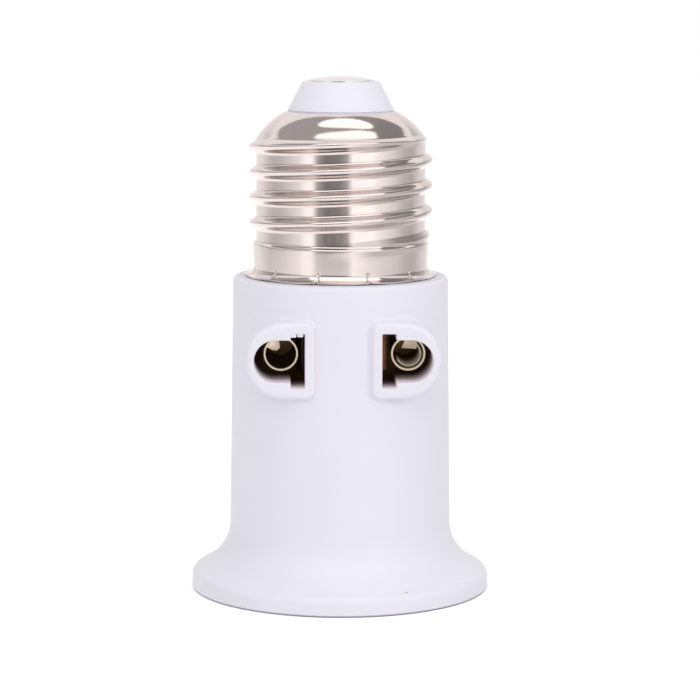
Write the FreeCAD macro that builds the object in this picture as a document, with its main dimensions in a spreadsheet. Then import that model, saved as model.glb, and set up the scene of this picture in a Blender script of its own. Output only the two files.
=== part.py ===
import FreeCAD, Part
import Sketcher
import math
import os
import re

# Lamp socket adapter: a screw cap on top, a lamp socket below and a two-pin outlet in its side.
# Millimetres. +Z points up out of the cap, the origin is the centre of the foot's rim,
# and the outlet faces -Y.

SIZES = {
    # Lamp socket, from the mouth up
    "mouth_inset": 5.8,
    "socket_inner_radius": 13.3,
    "socket_sheet": 0.3,
    "socket_length": 19.7,
    "socket_lip_width": 3.8,
    "socket_clearance": 0.4,
    "base_thickness": 2.5,
    "base_margin": 0.1,
    "tongue_width": 6.0,
    "tongue_sheet": 0.4,
    "tongue_foot": 4.6,
    "tongue_reach": 6.6,
    "tongue_drop": 2.6,
    "tongue_rivet_offset": 4.2,
    "shell_rivet_inset": 2.1,
    "rivet_radius": 0.8,
    "rivet_head_radius": 1.4,
    "rivet_head_height": 0.5,
    "rivet_clearance": 0.05,
    "screw_inset": 2.0,
    "screw_radius": 1.05,
    "screw_length": 8.0,
    "screw_head_radius": 1.9,
    "screw_head_height": 1.2,
    "screw_slot_width": 0.5,
    "screw_slot_depth": 0.5,
    "screw_clearance": 0.05,
    "boss_radius": 2.5,
    "boss_screw_spare": 1.5,
    # Moulded body
    "barrel_wall": 1.4,
    "barrel_draft": 0.82,
    "deck_thickness": 2.1,
    "deck_edge_radius": 1.5,
    "deck_margin": 0.1,
    "rim_overhang": 5.41,
    "rim_height": 2.52,
    "rim_land": 2.2,
    "rim_edge_radius": 2.0,
    "flare_slope": 37.0,
    "flare_radius": 6.0,
    "flare_wall": 2.0,
    "flare_inner_bevel": 1.5,
    # Screw cap
    "cap_crest_radius": 13.1,
    "cap_thread_depth": 1.0,
    "cap_thread_pitch": 3.629,
    "cap_thread_turns": 3.8,
    "cap_thread_rise": 0.64,
    "cap_thread_start": 285.0,
    "cap_crest_width": 0.84,
    "cap_flank_angle": 42.0,
    "cap_sheet": 0.25,
    "cap_clearance": 0.25,
    "cap_flange_width": 1.3,
    "cap_band_height": 4.7,
    "cap_band_step": 0.34,
    "cap_straight": 19.6,
    "cap_shoulder_height": 3.85,
    "cap_mouth_radius": 7.85,
    "neck_wall": 2.3,
    "neck_cone_height": 2.31,
    "nick_count": 11,
    "nick_width": 1.1,
    "nick_depth": 0.9,
    "nick_root_width": 0.37,
    # Nose and its contact
    "nose_clearance": 0.17,
    "nose_height": 4.3,
    "nose_top_radius": 5.45,
    "nose_wall": 2.4,
    "nose_link_clearance": 0.36,
    "nose_sink": 0.8,
    "nose_seat_width": 1.1,
    "contact_radius": 4.7,
    "contact_dome": 0.64,
    "contact_shank_radius": 1.3,
    "contact_shank_length": 5.2,
    "contact_clearance": 0.1,
    # Outlet in the side
    "outlet_lift": 7.0,
    "outlet_to_deck": 10.3,
    "pad_projection": 0.45,
    "pad_half_height": 5.42,
    "pad_inner_edge": 3.94,
    "pad_end_offset": 8.28,
    "pad_corner": 1.3,
    "pad_edge": 0.25,
    "pad_wall": 1.4,
    "pad_front_wall": 1.8,
    "pin_spacing": 19.0,
    "pin_hole_radius": 2.95,
    "slot_spacing": 12.7,
    "slot_width": 2.0,
    "slot_height": 7.6,
    "tunnel_length": 9.0,
    "tunnel_wall": 1.1,
    "sleeve_spacing": 18.0,
    "sleeve_inner_radius": 2.15,
    "sleeve_sheet": 0.3,
    "sleeve_setback": 7.8,
    "sleeve_slit": 0.5,
    "sleeve_ear_width": 3.2,
    "sleeve_ear_drop": 5.4,
    "leaf_sheet": 0.3,
    "leaf_height": 5.0,
    "leaf_gap": 0.2,
    "leaf_setback": 8.3,
    "leaf_lead": 0.6,
    "leaf_foot": 2.4,
    "contact_setback": 3.8,
    "strip_sheet": 0.4,
    "strip_foot_width": 3.2,
    "riser_height": 10.2,
    "riser_margin": 0.6,
    "riser_clearance": 0.6,
    # Links up to the cap
    "link_width": 2.0,
    "link_sheet": 0.3,
    "link_clearance": 0.06,
    "link_slot_clearance": 0.25,
    "link_exit": 2.5,
    "link_slant": 5.0,
}

V = FreeCAD.Vector
Z_AXIS = V(0, 0, 1)
TOUCH = 0.02
doc = FreeCAD.newDocument("lamp_socket_adapter")
sheet = doc.addObject("Spreadsheet::Sheet", "dims")
for row, (name, size) in enumerate(SIZES.items(), 1):
    sheet.set(f"A{row}", name)
    sheet.set(f"B{row}", str(size))
    sheet.setAlias(f"B{row}", name)
doc.recompute()

# Lengths that follow from the driving sizes, as formulas for the expressions below
DERIVED = {
    # heights
    "base_bottom": "mouth_inset + socket_length",
    "base_top": "base_bottom + base_thickness",
    "outlet_z": "base_top + outlet_lift",
    "deck_z": "outlet_z + outlet_to_deck",
    "ceiling_z": "deck_z - deck_thickness",
    "shoulder_z": "deck_z + cap_straight",
    "mouth_z": "shoulder_z + cap_shoulder_height",
    "nose_z": "mouth_z + nose_height",
    "thread_z": "deck_z + cap_band_height + cap_thread_rise",
    # radii
    "socket_outer_radius": "socket_inner_radius + socket_sheet",
    "socket_lip_radius": "socket_inner_radius - socket_lip_width",
    "shell_rivet_offset": "socket_inner_radius - shell_rivet_inset",
    "screw_offset": "socket_inner_radius - screw_inset",
    "riser_reach": "sqrt(riser_outer_x^2 + (contact_setback + strip_sheet + link_sheet)^2)",
    "inside_reach": "max(socket_outer_radius + socket_clearance; riser_reach + riser_clearance)",
    "deck_reach": "flange_radius + deck_margin + deck_edge_radius",
    "barrel_top_radius": "max(inside_reach + barrel_wall; deck_reach)",
    "bore_radius": "barrel_top_radius - barrel_wall",
    "base_radius": "socket_outer_radius + base_margin",
    "barrel_foot_radius": "barrel_top_radius + deck_z * tan(barrel_draft)",
    "rim_radius": "barrel_foot_radius + rim_overhang",
    "cap_root_radius": "cap_crest_radius - cap_thread_depth",
    "cap_inner_radius": "cap_root_radius - cap_sheet",
    "cap_band_radius": "cap_root_radius + cap_band_step",
    "flange_radius": "cap_band_radius + cap_flange_width",
    "neck_radius": "cap_inner_radius - cap_clearance",
    "neck_bore": "neck_radius - neck_wall",
    "nose_base_radius": "cap_mouth_radius - nose_clearance",
    "nose_bore": "sqrt(link_back^2 + link_width^2 / 4) + nose_link_clearance",
    # outlet
    "pad_face": "barrel_top_radius + (deck_z - outlet_z) * tan(barrel_draft) + pad_projection",
    "sleeve_front": "pad_face - sleeve_setback",
    "sleeve_length": "sleeve_front + contact_setback",
    "sleeve_outer_radius": "sleeve_inner_radius + sleeve_sheet",
    "leaf_front": "pad_face - leaf_setback",
    "leaf_x": "sleeve_spacing / 2 - sleeve_outer_radius - leaf_gap",
    "slot_x": "slot_spacing / 2",
    "pin_x": "pin_spacing / 2",
    "sleeve_x": "sleeve_spacing / 2",
    "riser_inner_x": "leaf_x - leaf_foot - leaf_sheet - riser_margin / 2",
    "riser_outer_x": "sleeve_x + sleeve_ear_width / 2 + riser_margin",
    "riser_top": "base_top + riser_height",
    # links, flat on the back of the risers
    "link_front": "contact_setback + strip_sheet",
    "link_back": "link_front + link_sheet",
    "link_exit_z": "deck_z + link_exit",
    "shank_end": "nose_z - contact_shank_length",
}


def bind(formula):
    """Write out a formula of plain size names as an expression on the sheet."""
    text = str(formula)
    while True:
        longer = re.sub(r"[a-z][a-z_]*", lambda m: f"({DERIVED[m[0]]})" if m[0] in DERIVED else m[0], text)
        if longer == text:
            break
        text = longer
    return re.sub(r"[a-z][a-z_]*", lambda m: f"dims.{m[0]}" if m[0] in SIZES else m[0], text)


def value(formula):
    """The number that a formula gives now."""
    return float(sheet.evalExpression(bind(formula)))


def new_body(name):
    body = doc.addObject("PartDesign::Body", name)
    body.Label = name
    return body


def new_sketch(body, name, role, offset="0", turn="0"):
    """An empty sketch on one of the body's planes, moved along its normal or turned about Z."""
    sketch = body.newObject("Sketcher::SketchObject", name)
    plane = next(f for f in body.Origin.OriginFeatures if f.Role == role)
    sketch.AttachmentSupport = (plane, [""])
    sketch.MapMode = "FlatFace"
    sketch.AttachmentOffset = FreeCAD.Placement(V(0, 0, value(offset)), FreeCAD.Rotation(V(0, 1, 0), 0))
    if offset != "0":
        sketch.setExpression("AttachmentOffset.Base.z", bind(offset))
    if turn != "0":
        sketch.AttachmentOffset = FreeCAD.Placement(V(), FreeCAD.Rotation(V(0, 1, 0), value(turn)))
        sketch.setExpression("AttachmentOffset.Rotation.Angle", bind(turn))
    return sketch


def pin_point(sketch, shape, vertex, point):
    """Fix one vertex of the sketch at a pair of formulas."""
    for kind, formula in zip(("DistanceX", "DistanceY"), point):
        index = sketch.addConstraint(Sketcher.Constraint(kind, -1, 1, shape, vertex, value(formula)))
        sketch.setExpression(f"Constraints[{index}]", bind(formula))


def arc_through(start, middle, end):
    """An anticlockwise arc through three points, and whether it runs from start to end."""
    curve = Part.Arc(start, middle, end).toShape().Curve
    forward = (middle - start).cross(end - middle).z > 0
    first, last = (start, end) if forward else (end, start)
    angles = [math.atan2(p.y - curve.Center.y, p.x - curve.Center.x) for p in (first, last)]
    if angles[1] < angles[0]:
        angles[1] += 2 * math.pi
    return Part.ArcOfCircle(Part.Circle(curve.Center, Z_AXIS, curve.Radius), *angles), forward


def dome_middle(start, end):
    """The middle of an arc between two points whose centre lies on the upright axis."""
    centre = V(0, (end.Length ** 2 - start.Length ** 2) / (2 * (end.y - start.y)), 0)
    toward = ((start + end) * 0.5 - centre).normalize()
    return centre + toward * (start - centre).Length


def outline(sketch, points):
    """A closed outline of formula pairs.

    A pair followed by another pair starts an arc through that middle point, and a pair followed
    by the word dome starts an arc whose centre lies on the upright axis.
    """
    spots = [V(value(p[0]), value(p[1]), 0) for p in points]
    first = sketch.GeometryCount
    starts, ends = [], []
    for i, point in enumerate(points):
        here, there = spots[i], spots[(i + 1) % len(points)]
        if len(point) == 2:
            sketch.addGeometry(Part.LineSegment(here, there), False)
            forward = True
        else:
            dome = point[2] == "dome"
            middle = dome_middle(here, there) if dome else V(value(point[2]), value(point[3]), 0)
            arc, forward = arc_through(here, middle, there)
            sketch.addGeometry(arc, False)
        starts.append(1 if forward else 2)
        ends.append(2 if forward else 1)
    for i, point in enumerate(points):
        after = (i + 1) % len(points)
        joint = Sketcher.Constraint("Coincident", first + i, ends[i], first + after, starts[after])
        sketch.addConstraint(joint)
        pin_point(sketch, first + i, starts[i], point[:2])
    for i, point in enumerate(points):
        if len(point) == 3:
            sketch.addConstraint(Sketcher.Constraint("PointOnObject", first + i, 3, -2))
        if len(point) == 4:
            mark = sketch.addGeometry(Part.Point(V(value(point[2]), value(point[3]), 0)), True)
            sketch.addConstraint(Sketcher.Constraint("PointOnObject", mark, 1, first + i))
            pin_point(sketch, mark, 1, point[2:])
    return sketch


def circle(sketch, x, y, radius):
    """A full circle whose centre and radius follow formulas."""
    index = sketch.addGeometry(Part.Circle(V(value(x), value(y), 0), Z_AXIS, value(radius)), False)
    size = sketch.addConstraint(Sketcher.Constraint("Radius", index, value(radius)))
    sketch.setExpression(f"Constraints[{size}]", bind(radius))
    pin_point(sketch, index, 3, (x, y))
    return sketch


def revolve(body, name, points):
    """Turn an outline of radius and height formulas about the Z axis."""
    sketch = outline(new_sketch(body, f"{name}_profile", "XZ_Plane"), points)
    feature = body.newObject("PartDesign::Revolution", name)
    feature.Profile = sketch
    feature.ReferenceAxis = (sketch, ["V_Axis"])
    feature.Angle = 360
    return feature


def pad(body, name, sketch, length, reverse=False):
    """Pad a sketch along its normal."""
    feature = body.newObject("PartDesign::Pad", name)
    feature.Profile = sketch
    feature.setExpression("Length", bind(length))
    feature.Reversed = reverse
    return feature


def pocket(body, name, sketch, length, reverse=False):
    """Cut a sketch against its normal and make sure that it takes material away."""
    doc.recompute()
    before = body.Shape.Volume
    feature = body.newObject("PartDesign::Pocket", name)
    feature.Profile = sketch
    feature.setExpression("Length", bind(length))
    feature.Reversed = reverse
    doc.recompute()
    if body.Shape.Volume > before - 1e-6:
        raise RuntimeError(f"{name} cuts nothing")
    return feature


def edges_at(body, fits):
    """Names of the body's edges whose every end and middle point passes the test."""
    doc.recompute()
    names = []
    for number, edge in enumerate(body.Shape.Edges, 1):
        middle = edge.valueAt((edge.FirstParameter + edge.LastParameter) / 2)
        spots = [v.Point for v in edge.Vertexes] + [middle]
        if all(fits(p) for p in spots):
            names.append(f"Edge{number}")
    return names


def fillet(body, name, radius, fits):
    """Round the edges that pass the test."""
    names = edges_at(body, fits)
    if not names:
        raise RuntimeError(f"{name} finds no edge")
    base = body.Tip
    feature = body.newObject("PartDesign::Fillet", name)
    feature.Base = (base, names)
    feature.setExpression("Radius", bind(radius))
    doc.recompute()
    return feature


def chamfer(body, name, size, fits):
    """Bevel the edges that pass the test."""
    names = edges_at(body, fits)
    if not names:
        raise RuntimeError(f"{name} finds no edge")
    base = body.Tip
    feature = body.newObject("PartDesign::Chamfer", name)
    feature.Base = (base, names)
    feature.setExpression("Size", bind(size))
    doc.recompute()
    return feature


def ring_at(radius, height):
    """A test for the points of a circle about the Z axis."""
    wanted_radius, wanted_height = value(radius), value(height)
    return lambda p: abs(math.hypot(p.x, p.y) - wanted_radius) < TOUCH and abs(p.z - wanted_height) < TOUCH


# Moulded body: foot, barrel, deck, neck and nose in one piece, open at the bottom
def make_housing():
    body = new_body("housing")
    slope_rise = "(rim_overhang * tan(flare_slope))"
    flare_top = f"(rim_height + {slope_rise})"
    inner_rim = "(rim_radius - rim_land)"
    inner_drop = "(flare_wall / cos(flare_slope))"
    inner_rim_z = f"(rim_height + rim_land * tan(flare_slope) - {inner_drop})"
    bore_start = f"({inner_rim_z} + ({inner_rim} - bore_radius) * tan(flare_slope))"
    nose_taper = "((nose_base_radius - nose_top_radius) / nose_height)"
    nose_foot_radius = f"(nose_base_radius + nose_sink * {nose_taper})"
    draft_at_flare = f"({flare_top} * tan(barrel_draft))"
    revolve(body, "shell", [
        (inner_rim, "0"),
        ("rim_radius", "0"),
        ("rim_radius", "rim_height"),
        (f"barrel_foot_radius - {draft_at_flare}", flare_top),
        ("barrel_top_radius", "deck_z"),
        ("neck_radius", "deck_z"),
        ("neck_radius", "shoulder_z - cap_sheet"),
        ("nose_base_radius + nose_seat_width", "shoulder_z - cap_sheet + neck_cone_height"),
        (nose_foot_radius, "mouth_z - nose_sink"),
        ("nose_top_radius", "nose_z"),
        ("0", "nose_z"),
        ("0", "nose_z - nose_wall"),
        ("nose_bore", "nose_z - nose_wall"),
        ("nose_bore", "shoulder_z - nose_wall"),
        ("neck_bore", "shoulder_z - nose_wall"),
        ("neck_bore", "ceiling_z"),
        ("bore_radius", "ceiling_z"),
        ("bore_radius", bore_start),
        (inner_rim, inner_rim_z),
    ])
    foot_edge_radius = f"barrel_foot_radius - {draft_at_flare}"
    fillet(body, "flare_curve", "flare_radius", ring_at(foot_edge_radius, flare_top))
    fillet(body, "rim_edge", "rim_edge_radius", ring_at("rim_radius", "rim_height"))
    chamfer(body, "flare_inside", "flare_inner_bevel", ring_at("bore_radius", bore_start))
    fillet(body, "deck_edge", "deck_edge_radius", ring_at("barrel_top_radius", "deck_z"))
    add_screw_bosses(body)
    for side in (1, -1):
        add_outlet(body, side)
    half_slot = "(link_width / 2 + link_slot_clearance)"
    link_slot = outline(new_sketch(body, "link_slot_outline", "YZ_Plane"), [
        ("link_front - link_slot_clearance", f"link_exit_z - {half_slot}"),
        ("link_back + link_slot_clearance", f"link_exit_z - {half_slot}"),
        ("link_back + link_slot_clearance", f"link_exit_z + {half_slot}"),
        ("link_front - link_slot_clearance", f"link_exit_z + {half_slot}"),
    ])
    pocket(body, "link_slot", link_slot, "neck_radius + cap_sheet")
    contact_hole = circle(new_sketch(body, "contact_hole_circle", "XY_Plane", "nose_z"), "0", "0",
                          "contact_shank_radius + contact_clearance")
    pocket(body, "contact_hole", contact_hole, "2 * nose_wall")
    return body


def add_screw_bosses(body):
    """Two posts inside the barrel that take the socket's screws."""
    inset = "(bore_radius + barrel_wall / 2)"
    for name, side in (("back", 1), ("front", -1)):
        y = f"{side} * screw_offset"
        wall_y = f"{side} * {inset}"
        post = outline(new_sketch(body, f"boss_{name}_outline", "XY_Plane", "base_top"), [
            ("boss_radius", y),
            ("boss_radius", f"{side} * sqrt({inset} * {inset} - boss_radius * boss_radius)", "0", wall_y),
            ("-boss_radius", f"{side} * sqrt({inset} * {inset} - boss_radius * boss_radius)"),
            ("-boss_radius", y, "0", f"{side} * (screw_offset - boss_radius)"),
        ])
        pad(body, f"boss_{name}", post, "ceiling_z - base_top + deck_thickness / 2")
        pilot = circle(new_sketch(body, f"pilot_{name}_circle", "XY_Plane", "base_top"), "0", y,
                       "screw_radius + screw_clearance")
        pocket(body, f"pilot_{name}", pilot, "screw_length - base_thickness + boss_screw_spare", True)


def d_outline(sketch, side, inset):
    """The pad's outline: straight toward the middle of the barrel, round at its outer end."""
    inner = f"{side} * (pad_inner_edge + {inset})"
    end = f"{side} * pad_end_offset"
    half = f"(pad_half_height - {inset})"
    corner = f"max(pad_corner - {inset}; 0.2)"
    corner_in = f"({corner}) * (1 - cos(45))"
    tip = f"{side} * (pad_end_offset + pad_half_height - {inset})"
    past = f"{inner} + {side} * ({corner})"
    near = f"{inner} + {side} * {corner_in}"
    return outline(sketch, [
        (past, f"outlet_z - {half}"),
        (end, f"outlet_z - {half}", tip, "outlet_z"),
        (end, f"outlet_z + {half}"),
        (past, f"outlet_z + {half}", near, f"outlet_z + {half} - {corner_in}"),
        (inner, f"outlet_z + {half} - ({corner})"),
        (inner, f"outlet_z - {half} + ({corner})", near, f"outlet_z - {half} + {corner_in}"),
    ])


def p_outline(sketch, side, grow):
    """The opening's outline: a blade slot, and from its outer side a way that ends round a pin."""
    outer_slot = f"{side} * (slot_x + slot_width / 2 + {grow})"
    inner_slot = f"{side} * (slot_x - slot_width / 2 - {grow})"
    pin = f"{side} * pin_x"
    radius = f"(pin_hole_radius + {grow})"
    half = f"(slot_height / 2 + {grow})"
    return outline(sketch, [
        (inner_slot, f"outlet_z - {half}"),
        (outer_slot, f"outlet_z - {half}"),
        (outer_slot, f"outlet_z - {radius}"),
        (pin, f"outlet_z - {radius}", f"{side} * (pin_x + {radius})", "outlet_z"),
        (pin, f"outlet_z + {radius}"),
        (outer_slot, f"outlet_z + {radius}"),
        (outer_slot, f"outlet_z + {half}"),
        (inner_slot, f"outlet_z + {half}"),
    ])


def add_outlet(body, side):
    """One raised pad with its cored back, the walls of its tunnel and the opening through both."""
    name = "right" if side > 0 else "left"
    block = d_outline(new_sketch(body, f"pad_{name}_outline", "XZ_Plane", "pad_face"), side, "0")
    pad(body, f"pad_{name}", block, "tunnel_length", True)
    face = -value("pad_face")
    chamfer(body, f"pad_{name}_edge", "pad_edge", lambda p: abs(p.y - face) < TOUCH and p.x * side > 0)
    core_sketch = new_sketch(body, f"core_{name}_outline", "XZ_Plane", "pad_face - pad_front_wall")
    pocket(body, f"core_{name}", d_outline(core_sketch, side, "pad_wall"), "tunnel_length")
    walls_sketch = new_sketch(body, f"tunnel_{name}_outline", "XZ_Plane", "pad_face - pad_front_wall / 2")
    walls = p_outline(walls_sketch, side, "tunnel_wall")
    pad(body, f"tunnel_{name}", walls, "tunnel_length - pad_front_wall / 2", True)
    opening_sketch = new_sketch(body, f"opening_{name}_outline", "XZ_Plane", "pad_face + pad_projection")
    opening = p_outline(opening_sketch, side, "0")
    pocket(body, f"opening_{name}", opening, "tunnel_length + 2 * pad_projection")


# Rolled screw shell: flange on the deck, plain band, thread, and a shoulder in to the nose
def make_cap_shell():
    body = new_body("cap_shell")
    bow_radius = "(0.54 * cap_root_radius + 0.46 * cap_mouth_radius)"
    bow_z = "(shoulder_z + 0.56 * cap_shoulder_height)"
    revolve(body, "wall", [
        ("cap_band_radius - cap_sheet", "deck_z"),
        ("flange_radius", "deck_z"),
        ("flange_radius", "deck_z + cap_sheet"),
        ("cap_band_radius + 0.5 * cap_sheet", "deck_z + 1.8 * cap_sheet"),
        ("cap_band_radius", "deck_z + 3.6 * cap_sheet"),
        ("cap_band_radius", "deck_z + cap_band_height"),
        ("cap_root_radius", "deck_z + cap_band_height + 2 * cap_band_step"),
        ("cap_root_radius", "shoulder_z", bow_radius, bow_z),
        ("cap_mouth_radius", "mouth_z"),
        ("cap_mouth_radius", "mouth_z - cap_sheet"),
        (f"{bow_radius} - 0.7 * cap_sheet", f"{bow_z} - 0.7 * cap_sheet"),
        ("cap_inner_radius", "shoulder_z - 0.3 * cap_sheet"),
        ("cap_inner_radius", "deck_z + cap_band_height + 2 * cap_band_step"),
        ("cap_band_radius - cap_sheet", "deck_z + cap_band_height"),
    ])
    doc.recompute()
    plain_volume = body.Shape.Volume
    # Ridge of the rolled thread, swept up a right-hand helix
    buried = "(cap_root_radius - cap_sheet / 2)"
    spread = f"(cap_crest_width / 2 + (cap_crest_radius - {buried}) / tan(cap_flank_angle))"
    ridge = outline(new_sketch(body, "ridge_profile", "XZ_Plane", turn="cap_thread_start"), [
        ("cap_crest_radius", "thread_z - cap_crest_width / 2"),
        ("cap_crest_radius", "thread_z + cap_crest_width / 2"),
        (buried, f"thread_z + {spread}"),
        (buried, f"thread_z - {spread}"),
    ])
    thread = body.newObject("PartDesign::AdditiveHelix", "thread")
    thread.Profile = ridge
    thread.ReferenceAxis = (ridge, ["V_Axis"])
    thread.Mode = "pitch-turns-angle"
    thread.setExpression("Pitch", bind("cap_thread_pitch"))
    thread.setExpression("Turns", bind("cap_thread_turns"))
    doc.recompute()
    if body.Shape.Volume < plain_volume:
        raise RuntimeError("the thread adds nothing")
    # Nicks that crimp the shell to the neck, cut through the flange all round
    reach = "(flange_radius + nick_depth)"
    start = "(flange_radius - nick_depth)"
    nick = outline(new_sketch(body, "nick_outline", "XY_Plane", "deck_z"), [
        (start, "-nick_root_width / 2"),
        (reach, "-nick_width / 2"),
        (reach, "nick_width / 2"),
        (start, "nick_root_width / 2"),
    ])
    cut = pocket(body, "nick", nick, "2 * cap_sheet", True)
    nicks = body.newObject("PartDesign::PolarPattern", "nicks")
    nicks.Originals = [cut]
    nicks.Axis = (nick, ["N_Axis"])
    nicks.Angle = 360
    nicks.setExpression("Occurrences", bind("nick_count"))
    body.Tip = nicks
    return body


# Domed contact riveted through the nose
def make_centre_contact():
    body = new_body("centre_contact")
    revolve(body, "rivet", [
        ("0", "shank_end"),
        ("contact_shank_radius", "shank_end"),
        ("contact_shank_radius", "nose_z"),
        ("contact_radius", "nose_z"),
        ("contact_radius", "nose_z + 0.2 * contact_dome", "dome"),
        ("0", "nose_z + contact_dome"),
    ])
    return body


# Socket sleeve that takes the lamp's cap, with a lip turned in under the base
def make_socket_shell():
    body = new_body("socket_shell")
    revolve(body, "sleeve", [
        ("socket_inner_radius", "mouth_inset"),
        ("socket_outer_radius", "mouth_inset"),
        ("socket_outer_radius", "base_bottom"),
        ("socket_lip_radius", "base_bottom"),
        ("socket_lip_radius", "base_bottom - socket_sheet"),
        ("socket_inner_radius", "base_bottom - socket_sheet"),
    ])
    fixings = new_sketch(body, "fixing_circles", "XY_Plane", "base_bottom")
    circle(fixings, "-shell_rivet_offset", "0", "rivet_radius + rivet_clearance")
    for side in (1, -1):
        circle(fixings, "0", f"{side} * screw_offset", "screw_radius + screw_clearance")
    pocket(body, "fixing_holes", fixings, "2 * socket_sheet")
    return body


# Insulating disc that carries the socket and the outlet's strips
def make_socket_base():
    body = new_body("socket_base")
    revolve(body, "disc", [
        ("0", "base_bottom"),
        ("base_radius", "base_bottom"),
        ("base_radius", "base_top"),
        ("0", "base_top"),
    ])
    holes = new_sketch(body, "hole_circles", "XY_Plane", "base_top")
    circle(holes, "-shell_rivet_offset", "0", "rivet_radius + rivet_clearance")
    circle(holes, "0", "-tongue_rivet_offset", "rivet_radius + rivet_clearance")
    for side in (1, -1):
        circle(holes, "0", f"{side} * screw_offset", "screw_radius + screw_clearance")
    pocket(body, "holes", holes, "2 * base_thickness")
    return body


# Springy tongue that meets the lamp's centre contact
def make_centre_tongue():
    body = new_body("centre_tongue")
    root_y = "(-tongue_rivet_offset - tongue_foot / 2)"
    bend_y = "(-tongue_rivet_offset + tongue_foot / 2)"
    low_y = f"({bend_y} + tongue_reach)"
    low_z = "(base_bottom - tongue_drop)"
    side = outline(new_sketch(body, "tongue_side", "YZ_Plane", "-tongue_width / 2"), [
        (root_y, "base_bottom"),
        (bend_y, "base_bottom"),
        (low_y, f"{low_z} + tongue_sheet"),
        (f"{low_y} + 2 * tongue_sheet", f"{low_z} + 3 * tongue_sheet"),
        (f"{low_y} + 3 * tongue_sheet", f"{low_z} + 2.6 * tongue_sheet"),
        (f"{low_y} + tongue_sheet / 2", low_z),
        (f"{bend_y} - tongue_sheet / 4", "base_bottom - tongue_sheet"),
        (root_y, "base_bottom - tongue_sheet"),
    ])
    pad(body, "tongue", side, "tongue_width")
    hole = circle(new_sketch(body, "hole_circle", "XY_Plane", "base_bottom"), "0", "-tongue_rivet_offset",
                  "rivet_radius + rivet_clearance")
    pocket(body, "hole", hole, "2 * tongue_sheet")
    return body


# Rivet with a flat head at each end, standing on its own axis and then moved to its holes
def make_rivet(name, x, y, low, high):
    body = new_body(name)
    revolve(body, "rivet", [
        ("0", f"{low} - rivet_head_height"),
        ("rivet_head_radius", f"{low} - rivet_head_height"),
        ("rivet_head_radius", low),
        ("rivet_radius", low),
        ("rivet_radius", high),
        ("rivet_head_radius", high),
        ("rivet_head_radius", f"{high} + rivet_head_height"),
        ("0", f"{high} + rivet_head_height"),
    ])
    body.setExpression("Placement.Base.x", bind(x))
    body.setExpression("Placement.Base.y", bind(y))
    return body


# Two slotted screws, up through the socket's lip and the base into the bosses
def make_base_screws():
    shank = doc.addObject("Part::Cylinder", "screw_shank")
    shank.setExpression("Radius", bind("screw_radius"))
    shank.setExpression("Height", bind("screw_length"))
    head = doc.addObject("Part::Cylinder", "screw_head")
    head.setExpression("Radius", bind("screw_head_radius"))
    head.setExpression("Height", bind("screw_head_height"))
    head.setExpression("Placement.Base.z", bind("-screw_head_height"))
    screw = doc.addObject("Part::Fuse", "screw_blank")
    screw.Base, screw.Tool = shank, head
    slot = doc.addObject("Part::Box", "screw_slot")
    slot.setExpression("Length", bind("2 * screw_head_radius"))
    slot.setExpression("Width", bind("screw_slot_width"))
    slot.setExpression("Height", bind("screw_slot_depth"))
    slot.setExpression("Placement.Base.x", bind("-screw_head_radius"))
    slot.setExpression("Placement.Base.y", bind("-screw_slot_width / 2"))
    slot.setExpression("Placement.Base.z", bind("-screw_head_height"))
    back = doc.addObject("Part::Cut", "screw_back")
    back.Base, back.Tool = screw, slot
    back.setExpression("Placement.Base.y", bind("screw_offset"))
    back.setExpression("Placement.Base.z", bind("base_bottom - socket_sheet"))
    front = doc.addObject("Part::Mirroring", "screw_front")
    front.Source = back
    front.Normal = V(0, 1, 0)
    pair = doc.addObject("Part::Compound", "base_screws")
    pair.Label = "base_screws"
    pair.Links = [back, front]
    return pair


# Outlet contacts: a rolled sleeve for a round pin and a leaf beside it for a flat blade
def make_sleeve(name, side):
    body = new_body(name)
    x = f"{side} * sleeve_x"
    rings = new_sketch(body, "ring", "XZ_Plane", "sleeve_front")
    circle(rings, x, "outlet_z", "sleeve_outer_radius")
    circle(rings, x, "outlet_z", "sleeve_inner_radius")
    pad(body, "tube", rings, "sleeve_length", True)
    half = "sleeve_ear_width / 2"
    ear = outline(new_sketch(body, "ear_outline", "XZ_Plane", "sleeve_sheet - contact_setback"), [
        (f"{x} - {half}", "outlet_z - sleeve_ear_drop"),
        (f"{x} + {half}", "outlet_z - sleeve_ear_drop"),
        (f"{x} + {half}", "outlet_z - sleeve_inner_radius"),
        (f"{x} - {half}", "outlet_z - sleeve_inner_radius"),
    ])
    pad(body, "ear", ear, "sleeve_sheet", True)
    slit = outline(new_sketch(body, "slit_outline", "XZ_Plane", "sleeve_front"), [
        (f"{x} - sleeve_slit / 2", "outlet_z"),
        (f"{x} + sleeve_slit / 2", "outlet_z"),
        (f"{x} + sleeve_slit / 2", "outlet_z + 1.2 * sleeve_outer_radius"),
        (f"{x} - sleeve_slit / 2", "outlet_z + 1.2 * sleeve_outer_radius"),
    ])
    pocket(body, "slit", slit, "1.5 * sleeve_length")
    return body


def make_leaf(name, side):
    body = new_body(name)
    front = "(-leaf_front)"
    back = "contact_setback"
    outer, inner = "leaf_x", "(leaf_x - leaf_sheet)"
    foot = "(leaf_x - leaf_sheet - leaf_foot)"
    strip = outline(new_sketch(body, "strip_outline", "XY_Plane", "outlet_z - leaf_height / 2"), [
        (f"{side} * {foot}", back),
        (f"{side} * {foot}", f"{back} - leaf_sheet"),
        (f"{side} * {inner}", f"{back} - leaf_sheet"),
        (f"{side} * {inner}", f"{front} + 2 * leaf_lead"),
        (f"{side} * ({inner} - leaf_lead)", front),
        (f"{side} * ({outer} - leaf_lead)", front),
        (f"{side} * {outer}", f"{front} + 2 * leaf_lead"),
        (f"{side} * {outer}", back),
    ])
    pad(body, "strip", strip, "leaf_height")
    return body


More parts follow.
